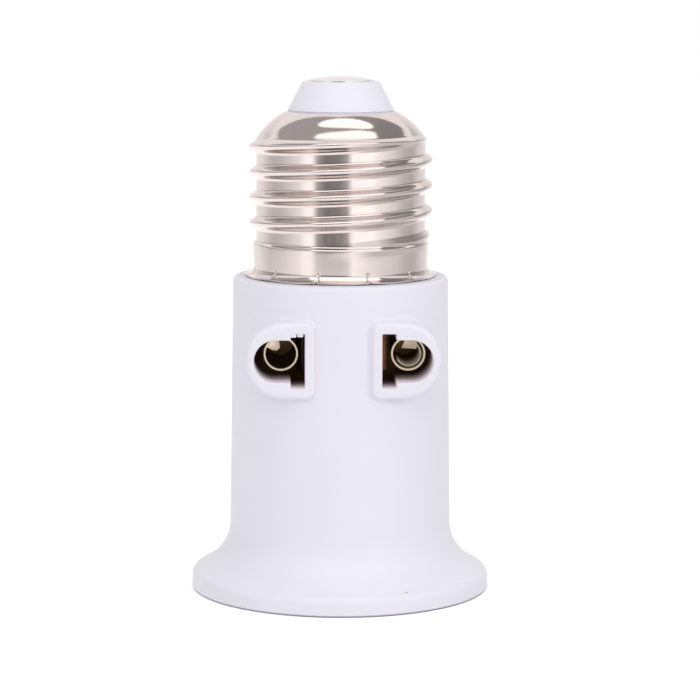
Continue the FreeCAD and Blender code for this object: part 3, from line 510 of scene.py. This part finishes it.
# ---------------------------------------------------------------- rolled threads
def thread_tree():
    """Pushes a turned sheet in or out along a helix where its attribute "pressed" is 1, and
    pinches its flange at even nicks."""
    tree = bpy.data.node_groups.new("rolled_thread", "GeometryNodeTree")
    tree.is_modifier = True
    inputs = [("Geometry", "NodeSocketGeometry", None), ("Pitch", "NodeSocketFloat", PITCH * MM),
              ("Height", "NodeSocketFloat", CREST * MM), ("Half Width Above", "NodeSocketFloat", 0.00105),
              ("Half Width Below", "NodeSocketFloat", 0.00105), ("High Z", "NodeSocketFloat", 1.0),
              ("Start Z", "NodeSocketFloat", 0.0), ("First Turn", "NodeSocketFloat", 0.0),
              ("Last Turn", "NodeSocketFloat", 4.0), ("Fade Turns", "NodeSocketFloat", 0.2),
              ("End Fade", "NodeSocketFloat", 0.2),
              ("Nicks", "NodeSocketFloat", 0.0), ("Nick Turn", "NodeSocketFloat", 0.0),
              ("Nick Half Width", "NodeSocketFloat", 0.0005), ("Flange From", "NodeSocketFloat", 1.0),
              ("Flange To", "NodeSocketFloat", 1.1), ("Nick Depth", "NodeSocketFloat", 0.0),
              ("Crease Depth", "NodeSocketFloat", 0.0), ("Dimple Z", "NodeSocketFloat", 0.0),
              ("Dimple Radius", "NodeSocketFloat", 0.0003), ("Dimple Depth", "NodeSocketFloat", 0.0),
              ("Petal Lift", "NodeSocketFloat", 0.0), ("Finish", "NodeSocketMaterial", None)]
    for name, kind, value in inputs:
        socket = tree.interface.new_socket(name, in_out="INPUT", socket_type=kind)
        if value is not None:
            socket.default_value = value
    tree.interface.new_socket("Geometry", in_out="OUTPUT", socket_type="NodeSocketGeometry")
    entry = add(tree, "NodeGroupInput").outputs
    calc = maths(tree)
    place = add(tree, "GeometryNodeInputPosition").outputs[0]
    spot = add(tree, "ShaderNodeSeparateXYZ", {0: place}).outputs
    turn = calc("DIVIDE", calc("ARCTAN2", spot["Y"], spot["X"]), math.tau)
    radius = calc("SQRT", calc("ADD", calc("MULTIPLY", spot["X"], spot["X"]),
                               calc("MULTIPLY", spot["Y"], spot["Y"])))
    # which turn of the helix is nearest, and how far above or below it the point lies
    level = calc("DIVIDE", calc("SUBTRACT", spot["Z"], entry["Start Z"]), entry["Pitch"])
    level = calc("SUBTRACT", level, turn)
    nearest = calc("ROUND", level)
    away = calc("MULTIPLY", calc("SUBTRACT", level, nearest), entry["Pitch"])
    along = calc("ADD", nearest, turn)
    near = calc("MAXIMUM", calc("DIVIDE", away, entry["Half Width Above"]),
                calc("DIVIDE", away, calc("MULTIPLY", entry["Half Width Below"], -1.0)))
    near = calc("MINIMUM", near, 1.0)
    ridge = calc("MULTIPLY", calc("ADD", calc("COSINE", calc("MULTIPLY", near, math.pi)), 1.0), 0.5)
    # the ridge rises at its first turn and falls off at its last
    rise = ramp(tree, along, entry["First Turn"], calc("ADD", entry["First Turn"], entry["Fade Turns"]),
                kind="SMOOTHSTEP")
    fall = ramp(tree, along, calc("SUBTRACT", entry["Last Turn"], entry["End Fade"]), entry["Last Turn"],
                1.0, 0.0, "SMOOTHSTEP")
    # the rollers stop short of the dome
    clear = ramp(tree, spot["Z"], entry["High Z"], calc("ADD", entry["High Z"], 0.0007),
                 1.0, 0.0, "SMOOTHSTEP")
    push = calc("MULTIPLY", calc("MULTIPLY", ridge, entry["Height"]),
                calc("MULTIPLY", clear, calc("MULTIPLY", rise, fall)))
    pressed = add(tree, "GeometryNodeInputNamedAttribute", {"Name": "pressed"},
                  data_type="FLOAT").outputs[0]
    # nicks evenly spaced round the flange
    share = calc("MULTIPLY", calc("SUBTRACT", turn, entry["Nick Turn"]), entry["Nicks"])
    gap = calc("ABSOLUTE", calc("DIVIDE", calc("MULTIPLY", calc("SUBTRACT", share, calc("ROUND", share)),
                                               calc("MULTIPLY", radius, math.tau)),
                                calc("MAXIMUM", entry["Nicks"], 1.0)))
    pinch = ramp(tree, gap, 0.0, entry["Nick Half Width"], 1.0, 0.0, "SMOOTHSTEP")
    out = ramp(tree, radius, entry["Flange From"], entry["Flange To"])
    # each nick ends in a small punched dimple at the foot of the band
    above = calc("SUBTRACT", spot["Z"], entry["Dimple Z"])
    below = ramp(tree, above, -0.0003, 0.0, 1.0, 0.0)
    reach = calc("SQRT", calc("ADD", calc("MULTIPLY", gap, gap), calc("MULTIPLY", above, above)))
    dimple = ramp(tree, reach, 0.0, entry["Dimple Radius"], 1.0, 0.0, "SMOOTHSTEP")
    depth = calc("ADD", calc("MULTIPLY", out, entry["Nick Depth"]),
                 calc("MULTIPLY", below, entry["Crease Depth"]))
    pinch = calc("MAXIMUM", calc("MULTIPLY", pinch, depth),
                 calc("MULTIPLY", dimple, entry["Dimple Depth"]))
    # the flange's edge is lifted a little at each nick, and lies flat midway between two
    lift = calc("MULTIPLY", calc("MULTIPLY", out, out), entry["Petal Lift"])
    wave = calc("ADD", calc("MULTIPLY", calc("COSINE", calc("MULTIPLY", share, math.tau)), 0.5), 0.5)
    lift = calc("MULTIPLY", lift, wave)
    level_way = add(tree, "ShaderNodeCombineXYZ", {"X": spot["X"], "Y": spot["Y"]}).outputs[0]
    outward = add(tree, "ShaderNodeVectorMath", {0: level_way}, operation="NORMALIZE").outputs[0]
    moved = calc("MULTIPLY", pressed, calc("SUBTRACT", push, pinch))
    sideways = add(tree, "ShaderNodeVectorMath", {0: outward, "Scale": moved}, operation="SCALE").outputs[0]
    upward = add(tree, "ShaderNodeCombineXYZ", {"Z": lift}).outputs[0]
    offset = add(tree, "ShaderNodeVectorMath", {0: sideways, 1: upward}, operation="ADD").outputs[0]
    shaped = add(tree, "GeometryNodeSetPosition", {"Geometry": entry["Geometry"], "Offset": offset})
    real = add(tree, "GeometryNodeRealizeInstances", {0: shaped.outputs[0]})
    painted = add(tree, "GeometryNodeSetMaterial", {"Geometry": real.outputs[0],
                                                    "Material": entry["Finish"]})
    add(tree, "NodeGroupOutput", {0: painted.outputs[0]})
    return tree


THREAD = thread_tree()


def roll(thing, **values):
    """Run the thread tree on a turned sheet with the given inputs."""
    modifier = thing.modifiers.new("rolled_thread", "NODES")
    modifier.node_group = THREAD
    names = {item.name: item.identifier for item in THREAD.interface.items_tree if item.in_out == "INPUT"}
    for name, value in values.items():
        modifier[names[name.replace("_", " ")]] = value
    return applied(thing)


def make_cap():
    """Screw shell: crimped flange, plain band, rolled thread and domed shoulder."""
    inside = [(12.08, 46.8), (12.12, 46.2), (12.35, 45.8), (12.7, 45.52), (13.1, 45.38), (13.5, 45.34)]
    flange = inside + [
        (13.68, 45.36), (13.74, 45.44), (13.72, 45.53), (13.62, 45.58), (13.4, 45.60), (13.2, 45.62),
        (13.05, 45.65), (12.9, 45.70), (12.78, 45.78), (12.68, 45.88), (12.60, 46.0), (12.53, 46.14),
        (12.46, 46.3), (12.42, 46.42)]
    flange += [(12.40 + 0.004 * k, 46.5 + 0.08 * k) for k in range(9)]
    shell = [(12.445, 47.4), (12.484, 48.2), (12.522, 49.0), (12.541, 49.4), (12.56, 49.85)]
    shell += [(12.56 - 0.46 * (1 - math.cos(math.pi * k / 7)) / 2, 49.9 + 0.09 * k) for k in range(8)]
    rows = int((SHOULDER_Z - BAND_TOP) / 0.118)
    shell += [(ROOT_R, BAND_TOP + (SHOULDER_Z - BAND_TOP) * k / rows) for k in range(rows + 1)]
    shell += bow((ROOT_R, SHOULDER_Z), (10.22, 67.14), (7.88, MOUTH_Z), 40)
    shell += [(7.76, MOUTH_Z), (7.70, MOUTH_Z - 0.08), (7.70, MOUTH_Z - 0.24)]
    shell += [(9.97, 66.88), (CAP_INNER, SHOULDER_Z - 0.08), (CAP_INNER, BAND_TOP), (12.1, 49.8),
              (12.08, 47.1)]
    # one nick lies 16.4 degrees to the left of the front
    nick = 270 - 16.4
    bm = bmesh.new()
    pressed = bm.verts.layers.float.new("pressed")
    # the flange carries fine marks, so it has twice as many steps round the axis
    steps = 396
    below = lathe(bm, flange, [math.radians(nick) + a for a in even(2 * steps)], closed=False)
    above = lathe(bm, shell, [math.radians(nick) + a for a in even(steps)], closed=False)
    join_rings(bm, below[-1], above[0])
    join_rings(bm, below[0], above[-1])
    for ring in below[3:] + above[:-6]:
        for vert in ring:
            vert[pressed] = 1.0
    cap = finish_mesh(bm, "screw_cap", sharp=50.0, merge=0)
    # a crest passes 50.4 mm up at 285 degrees
    seam = 285 / 360
    return roll(cap, Height=CREST * MM, Half_Width_Above=0.00105, Half_Width_Below=0.00132,
                Start_Z=0.05040 - seam * PITCH * MM, First_Turn=0.70, Last_Turn=seam + 4.35,
                Fade_Turns=0.5, End_Fade=0.45, High_Z=SHOULDER_Z * MM,
                Nicks=11.0, Nick_Turn=nick / 360, Nick_Half_Width=0.00026, Flange_From=0.0128,
                Flange_To=0.0137, Nick_Depth=0.00050, Crease_Depth=0.00012, Dimple_Z=0.04662,
                Dimple_Radius=0.00030, Dimple_Depth=0.00022, Petal_Lift=0.00012, Finish=NICKEL)


def bow(start, middle, end, count):
    """Points of the circle through three points, from the first to the last."""
    (ax, ay), (bx, by), (cx, cy) = start, middle, end
    d = 2 * (ax * (by - cy) + bx * (cy - ay) + cx * (ay - by))
    a, b, c = ax ** 2 + ay ** 2, bx ** 2 + by ** 2, cx ** 2 + cy ** 2
    ux = (a * (by - cy) + b * (cy - ay) + c * (ay - by)) / d
    uy = (a * (cx - bx) + b * (ax - cx) + c * (bx - ax)) / d
    radius = math.hypot(ax - ux, ay - uy)
    first = math.degrees(math.atan2(ay - uy, ax - ux))
    last = math.degrees(math.atan2(cy - uy, cx - ux))
    return arc_points(ux, uy, radius, first, last, count)[1:]


def make_socket():
    """Lamp socket sleeve: its thread stands inwards, under a lip turned in beneath the base."""
    rows = [23.9 - 0.15 * k for k in range(119)]
    path = [(SOCKET_OUTER, z) for z in reversed(rows)]
    path += [(SOCKET_OUTER, 25.3), (13.4, 25.5), (9.5, 25.5), (9.5, SOCKET_TOP),
             (SOCKET_INNER, SOCKET_TOP)]
    path += [(SOCKET_INNER, z) for z in rows]
    bm = bmesh.new()
    pressed = bm.verts.layers.float.new("pressed")
    for ring in lathe(bm, path, even(192)):
        for vert in ring:
            vert[pressed] = 1.0
    sleeve = finish_mesh(bm, "socket_sleeve", sharp=50.0, merge=1e-7)
    return roll(sleeve, Height=-0.00105, Start_Z=0.0086, First_Turn=-0.1,
                Last_Turn=3.7, Fade_Turns=0.25, Finish=SOCKET_BRASS)


# ---------------------------------------------------------------- outlet contacts
def add_plate(bm, outline, front, lean, thick=0.28):
    """A small bent end of the sheet: an outline of (x, z) whose face leans by (x, z) slopes."""
    loops = []
    middle = Vector((sum(x for x, z in outline), sum(z for x, z in outline))) / len(outline)
    for back, inset in ((0.0, 0.10), (0.06, 0.0), (thick - 0.06, 0.0), (thick, 0.10)):
        loop = []
        for x, z in outline:
            depth = front - back + (x - middle.x) * lean[0] + (z - middle.y) * lean[1]
            loop.append(Vector((x + (middle.x - x) * inset, -depth, z + (middle.y - z) * inset)) * MM)
        loops.append(loop)
    rings = loft(bm, loops)
    bm.faces.new(rings[0])
    bm.faces.new(rings[-1])
    return rings


def make_contact(name, side):
    """Rolled sleeve for a round pin: open along its top, with its seam's ends turned in."""
    front, back = PAD_FACE - 7.8, -3.8
    middle_x = 9.0 * side + 0.35
    lip = [(0.0, 0.03), (0.02, 0.07), (0.07, 0.11), (0.15, 0.125)]
    rows = [(front - d, wall, 2.3) for d, wall in lip]
    rows += [(front + (back - front) * k / 16, 0.125, 2.3 - 0.35 * (k / 16) ** 1.5) for k in range(1, 17)]
    gap, turns = 16, 72
    bm = bmesh.new()
    highlight_mark = bm.verts.layers.float.new("lip")
    loops = []
    for depth, wall, middle in rows:
        span = [90 + gap + (360 - 2 * gap) * i / turns for i in range(turns + 1)]
        outer = [(middle_x + (middle + wall) * math.cos(math.radians(a)),
                  OUTLET_Z + (middle + wall) * math.sin(math.radians(a))) for a in span]
        inner = [(middle_x + (middle - wall) * math.cos(math.radians(a)),
                  OUTLET_Z + (middle - wall) * math.sin(math.radians(a))) for a in span]
        loops.append(at_depth(outer + inner[::-1], depth))
    rings = loft(bm, loops)
    for ring in (rings[0], rings[-1]):
        close_strip(bm, ring, turns)
    # the turned-in end of the sheet, and how strong the painted highlight on each edge is
    bright = [(ring, 1.0) for ring in rings[:4]]
    if side < 0:
        flap = [(-1.95, 0.95), (-1.25, 0.50), (-0.45, 0.42), (-0.12, 0.85), (-0.28, 1.95), (-1.0, 2.2)]
        back_by, lean, share = 0.5, (-0.22, 0.10), 0.9
    else:
        flap = [(-0.95, 0.75), (1.2, 0.55), (1.35, 1.9), (-0.6, 2.25), (-0.55, 1.6)]
        back_by, lean, share = 0.7, (-0.18, 0.10), 0.75
    flap = [(middle_x + x, OUTLET_Z + z) for x, z in flap]
    bright += [(ring, share) for ring in add_plate(bm, flap, front - back_by, lean)]
    if side > 0:
        # the right-hand sleeve has a second turn of sheet inside it
        steps = 40
        inner, outer = [arc_points(middle_x + 0.1, OUTLET_Z - 0.2, radius, -150, 62, steps)
                        for radius in (1.62, 1.84)]
        rings = loft(bm, [at_depth(inner + outer[::-1], depth) for depth in (6.6, 1.5)])
        for ring in rings:
            close_strip(bm, ring, steps)
        # painted highlight on the second turn: 0.6 at its back end, 0.1 at its front
        bright += [(rings[0], 0.6), (rings[1], 0.1)]
    for ring, share in bright:
        for vert in ring:
            vert[highlight_mark] = share
    return finish_mesh(bm, name, sharp=40.0)


# ---------------------------------------------------------------- build the object
dress(make_body(), WHITE_ABS, "housing_plastic", "housing")
dress(make_cap(), NICKEL, "nickel_plate", "cap_shell")
dress(make_socket(), SOCKET_BRASS, "socket_brass", "socket_shell")
for word, side in (("left", -1), ("right", 1)):
    sleeve = make_contact(f"pin_sleeve_{word}", side)
    dress(sleeve, SLEEVE_BRASS, "sleeve_brass", f"outlet_sleeve_{word}")

finishes = {
    "centre_contact": CONTACT_NICKEL, "socket_base": BOARD, "centre_tongue": TONGUE_BRONZE,
    "tongue_rivet": RIVET_BRASS, "shell_rivet": RIVET_BRASS, "base_screws": SCREW_ZINC,
    "line_strip": STRIP_BRASS, "neutral_strip": STRIP_BRASS, "line_link": STRIP_BRASS,
    "neutral_link": STRIP_BRASS, "blade_leaf_left": LEAF_BRASS, "blade_leaf_right": LEAF_COPPER,
}
for node, finish in finishes.items():
    nodes[node].data.materials.clear()
    nodes[node].data.materials.append(finish)


# ---------------------------------------------------------------- camera
def make_camera():
    """The photograph's view: 390 mm away, 89 mm up and tipped down 8 degrees."""
    turn, tip, roll_angle = math.radians(1.7), math.radians(8.03), math.radians(-0.15)
    away, high = 390, 89.3
    sensor, picture, focal = 36.0, 700, 2732    # mm, and the other two in pixels
    data = bpy.data.cameras.new("photo_camera")
    data.sensor_width = sensor
    data.lens = sensor * focal / picture
    data.shift_x = 9.6 / picture
    data.shift_y = 0.8 / picture
    data.clip_start, data.clip_end = 0.01, 20.0
    camera = bpy.data.objects.new("photo_camera", data)
    scene.collection.objects.link(camera)
    camera.location = Vector((-away * math.sin(turn), -away * math.cos(turn), high)) * MM
    look = Vector((math.sin(turn) * math.cos(tip), math.cos(turn) * math.cos(tip), -math.sin(tip)))
    aim = look.to_track_quat("-Z", "Y")
    camera.rotation_euler = (Matrix.Rotation(roll_angle, 4, look) @ aim.to_matrix().to_4x4()).to_euler()
    scene.camera = camera


make_camera()


# ---------------------------------------------------------------- stage and light
def make_floor():
    """A wide pale floor that keeps the shadow and shows white to the camera and to metal."""
    bm = bmesh.new()
    corners = [bm.verts.new((x * 8.0, y * 8.0, 0)) for x, y in ((-1, -1), (1, -1), (1, 1), (-1, 1))]
    bm.faces.new(corners)
    floor = finish_mesh(bm, "floor", merge=0, recalc=False)
    made = bpy.data.materials.new("pale_floor")
    made.use_nodes = True
    tree = made.node_tree
    tree.nodes.clear()
    calc = maths(tree)
    rays = add(tree, "ShaderNodeLightPath").outputs
    seen = calc("MAXIMUM", rays["Is Camera Ray"], rays["Is Glossy Ray"])
    seen = calc("MAXIMUM", seen, rays["Is Transmission Ray"])
    matt = add(tree, "ShaderNodeBsdfDiffuse", {"Color": linear("#EDEDED")})
    glow = add(tree, "ShaderNodeEmission", {"Color": (1, 1, 1, 1),
                                            "Strength": calc("MULTIPLY", seen, 0.36)})
    both = add(tree, "ShaderNodeAddShader", {0: matt.outputs[0], 1: glow.outputs[0]})
    add(tree, "ShaderNodeOutputMaterial", {"Surface": both.outputs[0]})
    floor.data.materials.append(made)
    floor.visible_glossy = False


# What polished metal sees of the studio, level by azimuth in degrees from the front: at eye
# height white walls with two tall soft boxes, a dark gap between them and grey flags at the
# sides; just above that a darker belt
EYE_HEIGHT = [(-180, 1.0), (-135, 0.95), (-107, 0.62), (-90, 0.66), (-72, 0.85), (-60, 1.0),
              (-50, 1.3), (-41, 1.35), (-33, 0.45), (-22, 0.24), (-4, 0.27), (7, 0.45), (14, 1.35),
              (40, 1.4), (52, 1.15), (66, 1.0), (78, 0.85), (92, 0.62), (110, 0.55), (131, 0.85),
              (158, 0.95), (180, 1.0)]
BELT = [(-180, 0.95), (-150, 0.88), (-130, 0.6), (-107, 0.36), (-80, 0.42), (-60, 0.55), (-48, 0.9),
        (-41, 0.85), (-33, 0.26), (-16, 0.10), (5, 0.16), (14, 0.95), (45, 0.95), (60, 0.65),
        (80, 0.34), (112, 0.30), (135, 0.5), (155, 0.85), (180, 0.95)]


def make_world():
    """Even white surroundings for matt surfaces and the camera, and a room for polished metal."""
    world = bpy.data.worlds.new("studio")
    scene.world = world
    world.use_nodes = True
    tree = world.node_tree
    tree.nodes.clear()

    calc = maths(tree)

    def fade(value, start, end):
        return ramp(tree, value, start, end, kind="SMOOTHSTEP")

    def blend(share, first, second):
        return calc("ADD", calc("MULTIPLY", first, calc("SUBTRACT", 1.0, share)),
                    calc("MULTIPLY", second, share))

    def wall(levels):
        made = add(tree, "ShaderNodeValToRGB", {"Fac": round_room})
        for k, (azimuth, level) in enumerate(levels):
            stops = made.color_ramp.elements
            stop = stops[-1 if k else 0] if k in (0, len(levels) - 1) else stops.new(azimuth / 360 + 0.5)
            stop.color = (level,) * 3 + (1.0,)
        return made.outputs[0]

    place = add(tree, "ShaderNodeTexCoord").outputs["Generated"]
    way = add(tree, "ShaderNodeSeparateXYZ", {0: place}).outputs
    round_room = calc("ADD", calc("DIVIDE", calc("ARCTAN2", way["X"], calc("MULTIPLY", way["Y"], -1.0)),
                                  math.tau), 0.5)
    # on a plane overhead: a wide soft box in front, an oval one behind, and a dark sheet round both
    high = calc("MAXIMUM", way["Z"], 0.05)
    across = calc("DIVIDE", way["X"], high)
    along = calc("DIVIDE", way["Y"], high)
    off_centre = calc("ABSOLUTE", across)
    rim = calc("SUBTRACT", along, calc("MULTIPLY", calc("MAXIMUM", across, 0.0), 0.33))
    side = calc("ADD", calc("ABSOLUTE", calc("SUBTRACT", across, 0.13)), calc("MULTIPLY", along, 0.8))
    front_box = calc("MULTIPLY", fade(rim, -0.10, -0.17), fade(side, 0.47, 0.38))
    from_oval = calc("ADD", calc("POWER", calc("DIVIDE", calc("SUBTRACT", across, 0.08), 0.37), 2.0),
                     calc("POWER", calc("DIVIDE", calc("SUBTRACT", along, 0.19), 0.20), 2.0))
    boxes = calc("MAXIMUM", front_box, fade(from_oval, 1.12, 0.88))
    past_back = calc("SUBTRACT", calc("SUBTRACT", along, calc("MULTIPLY", off_centre, 0.65)), 0.44)
    past_sheet = calc("MAXIMUM", past_back, calc("SUBTRACT", off_centre, 1.16))
    sheet = blend(fade(across, -0.6, 0.9), 0.44, 0.28)
    ceiling = blend(boxes, blend(fade(past_sheet, -0.02, 0.03), sheet, 1.0), 1.5)
    room = blend(fade(way["Z"], -0.02, 0.08), wall(EYE_HEIGHT), wall(BELT))
    room = blend(fade(way["Z"], 0.42, 0.48), room, 1.0)
    room = blend(fade(way["Z"], 0.55, 0.61), room, ceiling)
    # the table: bright, less so to the right
    table = blend(fade(way["X"], 0.2, 0.7), 1.2, 0.68)
    room = blend(fade(way["Z"], -0.10, -0.30), room, table)

    rays = add(tree, "ShaderNodeLightPath").outputs
    plain = calc("MAXIMUM", rays["Is Camera Ray"], rays["Is Transmission Ray"])
    level = ramp(tree, plain, 0.0, 1.0, 0.76, 1.0)
    level = blend(rays["Is Glossy Ray"], level, room)
    warm = mix(tree, rays["Is Glossy Ray"], (1, 1, 1, 1), linear("#FFFBFA"))
    ground = add(tree, "ShaderNodeBackground", {"Color": warm, "Strength": level})
    add(tree, "ShaderNodeOutputWorld", {"Surface": ground.outputs[0]})


def make_lamp(name, place, aim, size, power):
    """A flat rectangular lamp that polished metal doesn't see."""
    data = bpy.data.lights.new(name, "AREA")
    data.shape = "RECTANGLE"
    data.size, data.size_y = size
    data.energy = power
    lamp = bpy.data.objects.new(name, data)
    scene.collection.objects.link(lamp)
    lamp.location = place
    lamp.rotation_euler = (Vector(aim) - Vector(place)).to_track_quat("-Z", "Y").to_euler()
    lamp.visible_glossy = False


make_floor()
make_world()
make_lamp("front_fill", (-0.24, -0.80, 0.36), (0, 0, 0.045), (0.6, 0.6), 1.22)
make_lamp("right_key", (0.55, -0.5, 0.32), (0, 0, 0.035), (0.2, 0.2), 0.78)
make_lamp("top_box", (0.0, -0.12, 0.6), (0, 0, 0.04), (0.4, 0.4), 0.38)

scene.view_settings.view_transform = "Standard"
